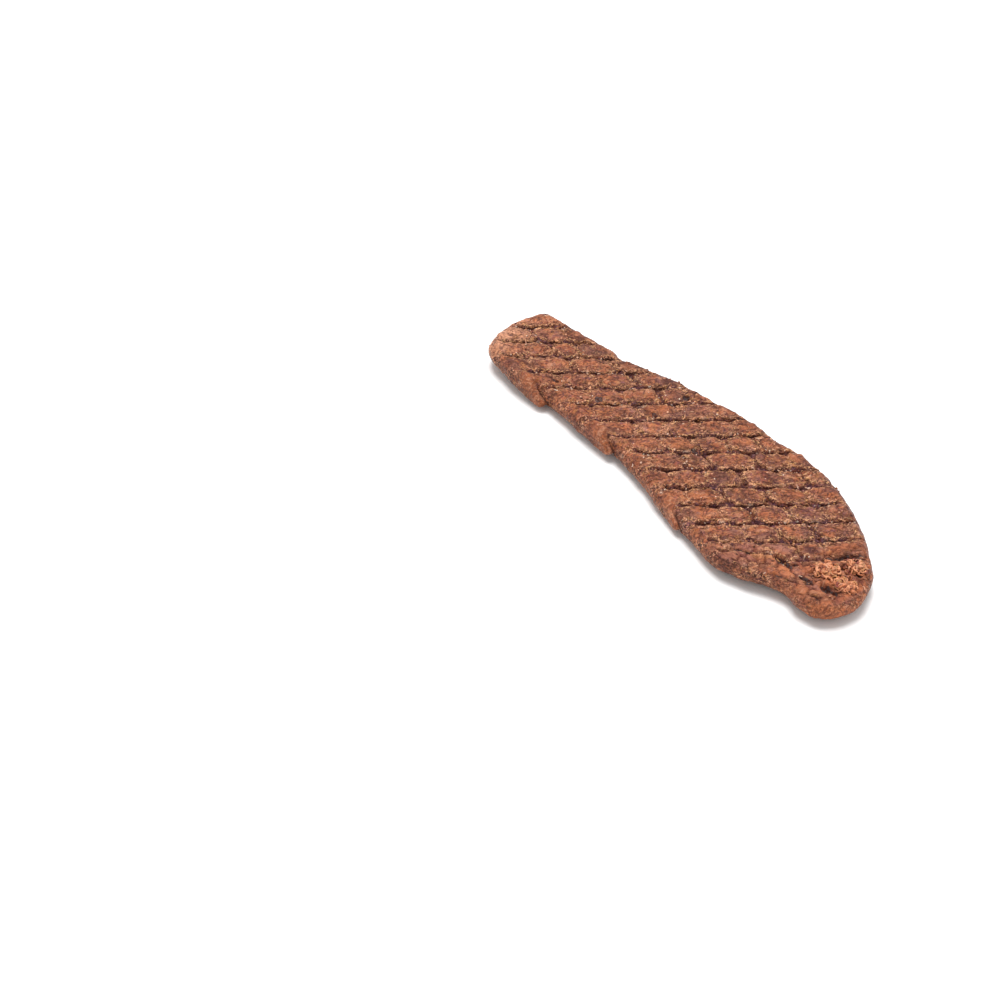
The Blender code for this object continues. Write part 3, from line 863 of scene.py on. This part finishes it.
def meat_material():
    """Dried pressed chicken: red-brown cells, plum and golden borders, the golden lines partly painted
    highlights, dark grooves, rusty rim.
    """
    s = Shader("meat")
    marks, crease, edge, cell, row = map(s.attribute, ("marks", "crease", "edge", "cell", "row"))
    torn, rim, pale, warm, glow, flap = map(s.attribute, ("torn", "rim", "pale", "warm", "glow", "flap"))
    grain, tint, chunky, chip, hole = map(s.attribute, ("grain", "tint", "chunky", "chip", "hole"))
    # Shared patterns
    wide = s.noise(14.0, 2.0, 0.6)
    blotch = s.noise(3.4, 3.0, 0.6, 0.8, 1.6)
    hue = s.noise(1.8, 2.0, 0.6, 0.8, 1.2)
    small = s.noise(1.0, 3.0, 0.6, 0.6, 1.15)
    fine = s.noise(0.5, 3.0, 0.7, 0.4, 1.2)
    dots = s.noise(0.9, 2.0, 0.6, 0.3)
    curl = s.noise(1.4, 1.5, 0.5, 1.5, 1.3)
    gap = s.noise(2.2, 2.0, 0.5, 1.2, 1.3)
    wisp = s.noise(0.9, 1.0, 0.5, 1.0, 1.5)
    calm = s.math("MINIMUM", s.ramp(flap, 0.0, 0.8, 1.0, 0.4), s.ramp(chunky, 0.2, 0.9, 1.0, 0.55))
    ragged = s.sway(edge, small, 0.5)
    busy = s.math("MAXIMUM", s.ramp(ragged, 0.5, 0.85, 0.06, 1.0), s.ramp(marks, 0.6, 0.0, 0.0, 0.35))
    busy = s.times(busy, s.ramp(blotch, 0.4, 0.56, 0.35, 1.0), calm)

    # Cells, tints and parts of the strip
    s.colour = s.pick(s.sway(cell, wide, 0.6), CELL_SCALE)
    heart = s.sway(s.ramp(edge, 0.75, 0.2), hue, 4.0)
    s.lay(s.ramp(heart, 0.5, 1.2, 0.0, 0.8), TERRACOTTA)
    s.lay(s.ramp(heart, 0.3, -0.5, 0.0, 0.8), MAUVE)
    s.lay(s.ramp(edge, 0.2, 0.7, 0.3, 0.6), s.pick(s.sway(tint, small, 0.5), FLESH_SCALE))
    ring = s.mix(s.ramp(dots, 0.48, 0.6), OLIVE, RUST)
    s.lay(s.times(s.ramp(ragged, 0.55, 0.8, 0.0, 0.6), marks), ring)
    s.lay(s.ramp(blotch, 0.46, 0.34, 0.0, 0.7), BROWN)
    tang = s.noise(1.3, 2.0, 0.6, 0.8, 1.2)
    s.lay(s.times(warm, 0.5), ORANGE)
    s.lay(s.ramp(tang, 0.55, 0.63, 0.0, 0.72), ORANGE)
    s.lay(s.ramp(tang, 0.43, 0.36, 0.0, 0.62), VIOLET)
    gild = s.noise(1.1, 2.0, 0.6, 0.8, 1.2)
    s.lay(s.ramp(gild, 0.54, 0.61, 0.0, 0.5), HONEY)
    s.lay(s.ramp(gild, 0.44, 0.37, 0.0, 0.5), BRICK)
    zone = s.noise(7.0, 2.0, 0.6, 0.5, 1.3)
    s.lay(s.ramp(zone, 0.5, 0.62, 0.0, 0.6), ORANGE)
    s.lay(s.ramp(zone, 0.48, 0.36, 0.0, 0.68), MAUVE)
    s.lay(s.times(chunky, 0.85), s.pick(s.sway(chip, small, 0.4), CHIP_SCALE))
    side = s.mix(s.ramp(small, 0.36, 0.56), RUST, TERRACOTTA)
    side = s.mix(s.ramp(hue, 0.5, 0.62, 0.0, 0.8), side, s.mix(s.ramp(dots, 0.46, 0.54), ORANGE, TAN))
    side = s.mix(s.ramp(blotch, 0.48, 0.38, 0.0, 0.75), side, BROWN)
    s.lay(s.ramp(rim, 0.05, 0.8, 0.0, 0.6), side)
    # Painted shade on the far rim, in dull mauve
    s.lay(s.times(s.attribute("far"), 0.55), MAUVE)
    s.lay(s.times(glow, s.ramp(hue, 0.38, 0.58, 0.25, 0.85)), ORANGE)
    s.lay(s.times(flap, s.ramp(small, 0.3, 0.6, 0.2, 0.7)), ORANGE)
    s.lay(s.times(flap, s.ramp(curl, 0.5, 0.62, 0.0, 0.6)), PEACH)
    s.lay(s.times(flap, s.ramp(dots, 0.46, 0.36, 0.0, 0.6)), CLAY)
    s.lay(s.ramp(torn, 0.2, 0.8, 0.0, 0.85), s.mix(s.ramp(small, 0.46, 0.6), BRICK, ORANGE))
    s.lay(s.times(pale, s.ramp(small, 0.3, 0.55, 0.5, 1.0)), PEACH)
    special = s.pick(s.attribute("spot_tone"), SPOT_SCALE)
    spot = s.times(s.attribute("spot"), s.ramp(small, 0.3, 0.55, 0.5, 0.95))
    s.lay(spot, special)

    # Painted shade in the hollows of the relief, painted highlights on its tops
    s.lay(s.times(s.ramp(grain, -0.1, -0.9, 0.0, 0.8), calm), BROWN)
    s.lay(s.times(s.ramp(grain, 0.3, 0.9, 0.0, 0.4), calm), PEACH)

    # Crumbs in the pockets
    tone, light, chink = s.crumbs(1.25)
    tinted = s.mix(s.ramp(light, 0.75, 0.95, 0.0, 0.7), s.pick(tone, CRUMB_SCALE), GOLD)
    tinted = s.mix(s.ramp(light, 0.35, 0.1, 0.0, 0.6), tinted, VIOLET)
    # Painted shade in the gaps between the crumbs
    tinted = s.mix(s.ramp(chink, 0.1, 0.03, 0.0, 0.9), tinted, PLUM)
    s.lay(s.times(busy, 0.7), tinted)
    s.lay(s.times(spot, 0.6), special)

    # Lines, grooves and holes
    dent = s.times(s.ridge(gap, 0.5, 0.06, 0.025), s.ramp(small, 0.42, 0.54), calm)
    s.lay(s.times(dent, 0.75), PLUM)
    # Pale threads along the cell borders: painted highlights, also raised a little in the bump
    border = s.times(s.ramp(edge, 0.3, 0.7, 0.15, 1.0), s.ramp(edge, 1.0, 0.9))
    border = s.times(border, s.ramp(blotch, 0.44, 0.54, 0.15, 1.0))
    curled = s.times(s.ridge(curl, 0.5, 0.08, 0.03), s.ramp(dots, 0.46, 0.54))
    straight = s.times(s.ridge(wisp, 0.5, 0.09, 0.04), s.ramp(dots, 0.5, 0.42))
    thread_highlight = s.times(s.math("MAXIMUM", curled, straight), s.times(border, calm))
    s.lay(s.times(thread_highlight, s.ramp(fine, 0.4, 0.48, 0.4, 0.95)), s.mix(s.ramp(hue, 0.36, 0.5), GOLD, PEACH))
    band = s.times(s.ramp(ragged, 0.86, 1.0), marks)
    s.lay(s.times(band, 0.7), s.mix(s.ramp(hue, 0.44, 0.54), PLUM, VIOLET))
    # Golden and peach lines on the cell lips: partly the lips' own colour, partly painted highlights
    lip = s.times(s.ridge(ragged, 0.76, 0.06, 0.025), marks, s.ramp(dots, 0.45, 0.52, 0.1, 1.0))
    s.lay(s.times(lip, s.ramp(fine, 0.42, 0.5, 0.4, 0.95)), s.mix(s.ramp(curl, 0.4, 0.6), STRAW, PEACH))
    rod = s.math("ABSOLUTE", s.math("SUBTRACT", s.math("FRACT", s.math("ADD", row, 0.5)), 0.5))
    groove = s.sway(s.times(rod, ROD_PITCH), fine, 0.22)
    groove = s.times(s.ramp(groove, 0.34, 0.14), s.times(s.ramp(crease, 0.1, 0.45), marks))
    links = s.sway(crease, fine, 0.9)
    dark = s.math("MAXIMUM", groove, s.ramp(links, 0.5, 0.8, 0.0, 0.8))
    s.lay(s.times(dark, 0.85), SHADE)
    # Painted shade in the crevices between the chunks of the wide end
    s.lay(s.times(s.attribute("crevice"), 0.8), PLUM)
    hollow = s.ramp(s.math("ADD", hole, s.math("SUBTRACT", fine, 0.5)), 0.35, 0.65)
    s.lay(s.times(hollow, 0.9), s.mix(s.ramp(dots, 0.44, 0.54), SHADE, SLATE))

    # Pale specks: gold ones, and cream ones that are partly painted glints
    sunken = s.times(s.ramp(ragged, 0.72, 0.9, 0.05, 1.0), s.ramp(marks, 0.0, 1.0, 0.2, 1.0))
    s.lay(s.times(s.spots(0.8, 0.15, 0.34), s.times(sunken, 0.8)), GOLD)
    s.lay(s.times(s.spots(0.7, 0.1, 0.34), sunken), CREAM)

    # Light and dark
    grainy = s.times(s.math("ADD", s.times(busy, 0.25), 0.2), calm)
    grainy = s.math("ADD", grainy, s.times(rim, 0.2))
    shade = s.times(s.ramp(fine, 0.42, 0.58, -1.0, 1.0), grainy)
    shade = s.times(s.math("ADD", shade, 1.0), s.ramp(wide, 0.3, 0.7, 0.84, 1.03))
    s.shade(s.times(shade, s.ramp(chunky, 0.0, 1.0, 1.0, 1.1), s.ramp(row, 0.0, 4.0, 0.96, 1.0)))

    # Gloss and finest relief
    s.feed(s.surface.inputs["Roughness"], s.ramp(small, 0.4, 0.7, 0.5, 0.25))
    bump = s.node("ShaderNodeBump")
    bump.inputs["Strength"].default_value = BUMP_STRENGTH
    bump.inputs["Distance"].default_value = BUMP_HEIGHT * MM
    height = s.math("ADD", s.times(small, 0.9), s.times(fine, 0.3))
    round_top = s.times(s.ramp(chink, 0.0, 0.3), busy)
    height = s.math("ADD", height, s.times(round_top, 0.35))
    height = s.math("ADD", height, s.times(dent, -0.4))
    height = s.math("ADD", height, s.times(s.math("MAXIMUM", thread_highlight, lip), 0.4))
    s.feed(bump.inputs["Height"], height)
    s.feed(s.surface.inputs["Normal"], bump.outputs["Normal"])
    s.surface.inputs["Specular IOR Level"].default_value = MEAT_GLOSS
    return s.material


def shred_material(name, tones):
    """Loose bits of meat, whose colour follows each bit's own tone through the given colours."""
    s = Shader(name)
    scale = [(place / (len(tones) - 1), tone) for place, tone in enumerate(tones)]
    s.colour = s.pick(s.attribute("tone"), scale)
    s.shade(s.ramp(s.noise(0.5, 2.0, 0.7), 0.3, 0.7, 0.65, 1.2))
    s.surface.inputs["Specular IOR Level"].default_value = SHRED_GLOSS
    s.surface.inputs["Roughness"].default_value = SHRED_ROUGHNESS
    return s.material


class Surface:
    """Places on the finished strip where loose bits can lie."""

    def __init__(self, mesh):
        self.mesh = mesh
        self.points = read_vectors(mesh.vertices, "co") / MM
        self.normals = read_vectors(mesh.vertex_normals, "vector")
        self.low = self.points[:, :2].min(axis=0) - 2.0
        size = np.ceil((self.points[:, :2].max(axis=0) + 2.0 - self.low) / GRID).astype(int) + 1
        self.heights = np.full(size, -1.0)
        top = self.normals[:, 2] > 0.2
        ix, iy = ((self.points[top, :2] - self.low) / GRID).astype(int).T
        np.maximum.at(self.heights, (ix, iy), self.points[top, 2])
        spread = self.heights.copy()
        for axis in (0, 1):
            for turn in (-1, 1):
                spread = np.maximum(spread, np.roll(self.heights, turn, axis=axis))
        self.heights = np.where(self.heights < 0.0, spread, self.heights)

    def values(self, name):
        return read_values(self.mesh, name)

    def pick(self, rng, weights, count):
        """Numbers of points picked at random by weight."""
        return rng.choice(len(weights), size=count, p=weights / weights.sum())

    def height(self, x, y):
        """Height of the upper face in millimetres."""
        ix = np.clip(((x - self.low[0]) / GRID).astype(int), 0, self.heights.shape[0] - 1)
        iy = np.clip(((y - self.low[1]) / GRID).astype(int), 0, self.heights.shape[1] - 1)
        return self.heights[ix, iy]


def add_piece(name, vertices, faces, tones, material):
    """A piece that lies on the strip."""
    vertices[..., 2] = np.minimum(vertices[..., 2], PIECE_TOP)
    mesh = bpy.data.meshes.new(name)
    mesh.from_pydata(vertices.reshape(-1, 3) * MM, [], faces)
    store(mesh, "tone", tones.ravel())
    mesh.shade_smooth()
    mesh.materials.append(material)
    piece = new_object(name, mesh)
    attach(piece, "root")
    return piece


def add_threads(name, paths, radii, flatness, tones, material, rough=1.0):
    """Many tapered threads, each along a path of the same number of points, as one piece."""
    count, length, _ = paths.shape
    run = np.gradient(paths, axis=1)
    run /= np.linalg.norm(run, axis=2, keepdims=True) + 1e-9
    side = np.cross(run, (0.0, 0.0, 1.0))
    side /= np.linalg.norm(side, axis=2, keepdims=True) + 1e-9
    over = np.cross(side, run)
    taper = np.sin(math.pi * (np.arange(length) + 0.6) / (length + 0.2)) ** 0.5
    wide = radii[:, None] * taper[None, :] * rough
    angles = np.arange(SIDES) * 2.0 * math.pi / SIDES
    rings = paths[:, :, None, :] + wide[:, :, None, None] * (
        np.cos(angles)[:, None] * side[:, :, None, :]
        + (flatness[:, None, None] * np.sin(angles))[..., None] * over[:, :, None, :]
    )
    faces = []
    for n in range(count):
        for k in range(length - 1):
            ring = (n * length + k) * SIDES
            for a in range(SIDES):
                b = (a + 1) % SIDES
                faces.append((ring + a, ring + b, ring + SIDES + b, ring + SIDES + a))
        first = n * length * SIDES
        last = first + (length - 1) * SIDES
        faces.append(tuple(range(first + SIDES - 1, first - 1, -1)))
        faces.append(tuple(range(last, last + SIDES)))
    tone = np.repeat(tones, length * SIDES)
    return add_piece(name, rings, faces, tone, material)


def add_grains(name, places, normals, sizes, flatness, tones, material, rng):
    """Many lumpy grains pressed onto the strip, as one piece."""
    ball = bmesh.new()
    bmesh.ops.create_icosphere(ball, subdivisions=2, radius=1.0)
    shape = np.array([v.co for v in ball.verts])
    corners = [[v.index for v in f.verts] for f in ball.faces]
    ball.free()
    count = len(places)
    turns = rng.uniform(-1.0, 1.0, (count, 3))
    side = np.cross(normals, turns)
    side /= np.linalg.norm(side, axis=1, keepdims=True) + 1e-9
    front = np.cross(normals, side)
    lumps = 1.0 + rng.uniform(-0.25, 0.25, (count, len(shape), 1))
    stretch = rng.uniform(0.7, 1.6, count)
    local = shape[None] * lumps * sizes[:, None, None]
    solid = (
        local[:, :, 0:1] * side[:, None, :] * stretch[:, None, None]
        + local[:, :, 1:2] * front[:, None, :]
        + local[:, :, 2:3] * normals[:, None, :] * flatness
    )
    vertices = places[:, None, :] + solid
    faces = [tuple(n * len(shape) + c for c in corner) for n in range(count) for corner in corners]
    return add_piece(name, vertices, faces, np.repeat(tones, len(shape)), material)


def wander(surface, rng, x, y, heading, lengths, bend, steps, radii, arch, torn_only=False):
    """Paths that wander over the upper face from the given places, and which of them stay on it."""
    paths = np.empty((len(x), steps, 3))
    stride = lengths / (steps - 1)
    for k in range(steps):
        paths[:, k, 0] = x
        paths[:, k, 1] = y
        paths[:, k, 2] = surface.height(x, y)
        x = x + np.cos(heading) * stride
        y = y + np.sin(heading) * stride
        heading = heading + bend + rng.normal(0.0, 0.15, len(x))
    z = paths[:, :, 2]
    stays = (z.min(axis=1) > 2.5) & (np.abs(np.diff(z, axis=1)).max(axis=1) < 1.2)
    if torn_only:
        stays &= torn_field(paths[:, :, 0], paths[:, :, 1]).min(axis=1) > 0.25
    z[:, 1:-1] = np.maximum(z[:, 1:-1], 0.5 * (z[:, :-2] + z[:, 2:]))
    t = np.linspace(0.0, 1.0, steps)
    paths[:, :, 2] = z + 0.15 * radii[:, None] + arch[:, None] * (4.0 * t * (1.0 - t))
    return paths, stays


def add_loose_bits(mesh):
    """Shreds and chunks in the torn patch, pale fibres along the belt marks, grains in the pockets."""
    rng = np.random.default_rng(SEED)
    surface = Surface(mesh)
    pocket = surface.values("pocket")
    lip = surface.values("lip")
    torn = surface.values("torn")
    rim = surface.values("rim")
    top = surface.normals[:, 2] > 0.3

    field = torn_field(*surface.points[:, :2].T)
    pick = surface.pick(rng, top * (torn ** 3 + 0.02 * field), SHREDS)
    x, y = surface.points[pick, :2].T
    lengths = rng.uniform(1.3, 3.2, SHREDS)
    radii = rng.uniform(0.16, 0.3, SHREDS)
    heading = rng.uniform(0.0, 2.0 * math.pi, SHREDS)
    bend = rng.uniform(0.25, 0.8, SHREDS) * rng.choice((-1.0, 1.0), SHREDS)
    arch = rng.uniform(0.1, 1.0, SHREDS) * (0.25 + 0.75 * torn[pick])
    paths, stays = wander(surface, rng, x, y, heading, lengths, bend, 9, radii, arch, torn_only=True)
    shreds = shred_material("shreds", SHRED_TONES)
    tones = rng.uniform(0.0, 1.0, SHREDS) * (0.3 + 0.7 * torn[pick])
    flatness = rng.uniform(0.6, 1.3, SHREDS)
    rough = rng.uniform(0.55, 1.45, (int(stays.sum()), 9))
    add_threads("strip_shreds", paths[stays], radii[stays], flatness[stays], tones[stays], shreds, rough)

    pick = surface.pick(rng, top * torn ** 2, CHUNKS)
    sizes = rng.uniform(0.25, 0.6, CHUNKS)
    tones = rng.uniform(0.0, 1.0, CHUNKS)
    add_grains("strip_chunks", surface.points[pick], surface.normals[pick], sizes, 0.8, tones, shreds, rng)

    weights = top * (lip + 0.3 * pocket + 0.06) * (1.0 - torn)
    pick = surface.pick(rng, weights, FIBRES)
    x, y = surface.points[pick, :2].T
    lengths = rng.uniform(0.4, 1.2, FIBRES)
    radii = rng.uniform(0.11, 0.21, FIBRES)
    heading = ROD_ANGLE + rng.normal(0.0, 0.8, FIBRES) + math.pi * rng.integers(0, 2, FIBRES)
    bend = rng.normal(0.0, 0.3, FIBRES)
    arch = rng.uniform(0.0, 0.06, FIBRES)
    paths, stays = wander(surface, rng, x, y, heading, lengths, bend, 7, radii, arch)
    fibres = shred_material("fibres", FIBRE_TONES)
    tones = rng.uniform(0.0, 1.0, FIBRES) ** 1.5
    flatness = rng.uniform(0.5, 0.9, FIBRES)
    add_threads("strip_fibres", paths[stays], radii[stays], flatness[stays], tones[stays], fibres)

    weights = 0.12 + pocket + 0.6 * torn
    weights = weights * (surface.points[:, 2] > 1.2) * (1.0 - 0.9 * rim)
    pick = surface.pick(rng, weights, GRAINS)
    sizes = rng.uniform(0.1, 0.3, GRAINS)
    places = surface.points[pick] - 0.1 * sizes[:, None] * surface.normals[pick]
    grains = shred_material("grains", GRAIN_TONES)
    tones = rng.uniform(0.0, 1.0, GRAINS) ** 1.5
    add_grains("strip_grains", places, surface.normals[pick], sizes, 0.7, tones, grains, rng)


def make_strip():
    """The strip itself, in place of its solid."""
    outline = closed_curve(OUTLINE, SPAN_STEPS)
    mesh = make_slab(outline)
    carve(mesh, outline)
    dense = new_object("dense", mesh)
    decimate = dense.modifiers.new("Decimate", "DECIMATE")
    decimate.ratio = TRIANGLES / (2.0 * len(mesh.polygons))
    decimate.use_collapse_triangulate = True
    bpy.context.view_layer.update()
    fine = evaluated_mesh(dense)
    centre_on_floor(fine)
    fine.shade_smooth()
    fine.materials.append(meat_material())
    strip = new_object("strip_meat", fine)
    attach(strip, "root")
    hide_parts(NODE)
    add_loose_bits(fine)


def make_camera():
    """The camera, at the photograph's viewing angle."""
    data = bpy.data.cameras.new("camera")
    data.lens = CAMERA_LENS
    data.sensor_width = SENSOR
    data.clip_start = NEAREST_SEEN * MM
    camera = new_object("camera", data)
    camera.location = [v * MM for v in CAMERA_PLACE]
    camera.rotation_euler = (math.radians(90.0 - CAMERA_PITCH), 0.0, math.radians(CAMERA_AZIMUTH))
    bpy.context.scene.camera = camera


def make_floor():
    """A plain pale floor."""
    bpy.ops.mesh.primitive_plane_add(size=FLOOR_SIZE, location=(0.0, 0.0, -FLOOR_DEPTH))
    floor = bpy.context.object
    floor.name = "floor"
    s = Shader("floor_paint")
    s.surface.inputs["Base Color"].default_value = FLOOR_PAINT
    s.surface.inputs["Roughness"].default_value = FLOOR_ROUGHNESS
    s.surface.inputs["Specular IOR Level"].default_value = FLOOR_GLOSS
    floor.data.materials.append(s.material)


def make_light():
    """Plain soft studio light: a white room, one large soft light high above."""
    world = bpy.data.worlds.new("studio")
    bpy.context.scene.world = world
    world.use_nodes = True
    background = world.node_tree.nodes["Background"]
    background.inputs["Color"].default_value = (1.0, 1.0, 1.0, 1.0)
    background.inputs["Strength"].default_value = ROOM_STRENGTH
    data = bpy.data.lights.new("key", "AREA")
    data.shape = "SQUARE"
    data.size = LIGHT_SIZE
    data.energy = LIGHT_POWER
    light = new_object("key", data)
    light.location = LIGHT_PLACE
    light.rotation_euler = light.location.to_track_quat("Z", "Y").to_euler()
    bpy.context.scene.view_settings.view_transform = "Standard"


make_camera()
make_floor()
make_light()
make_strip()
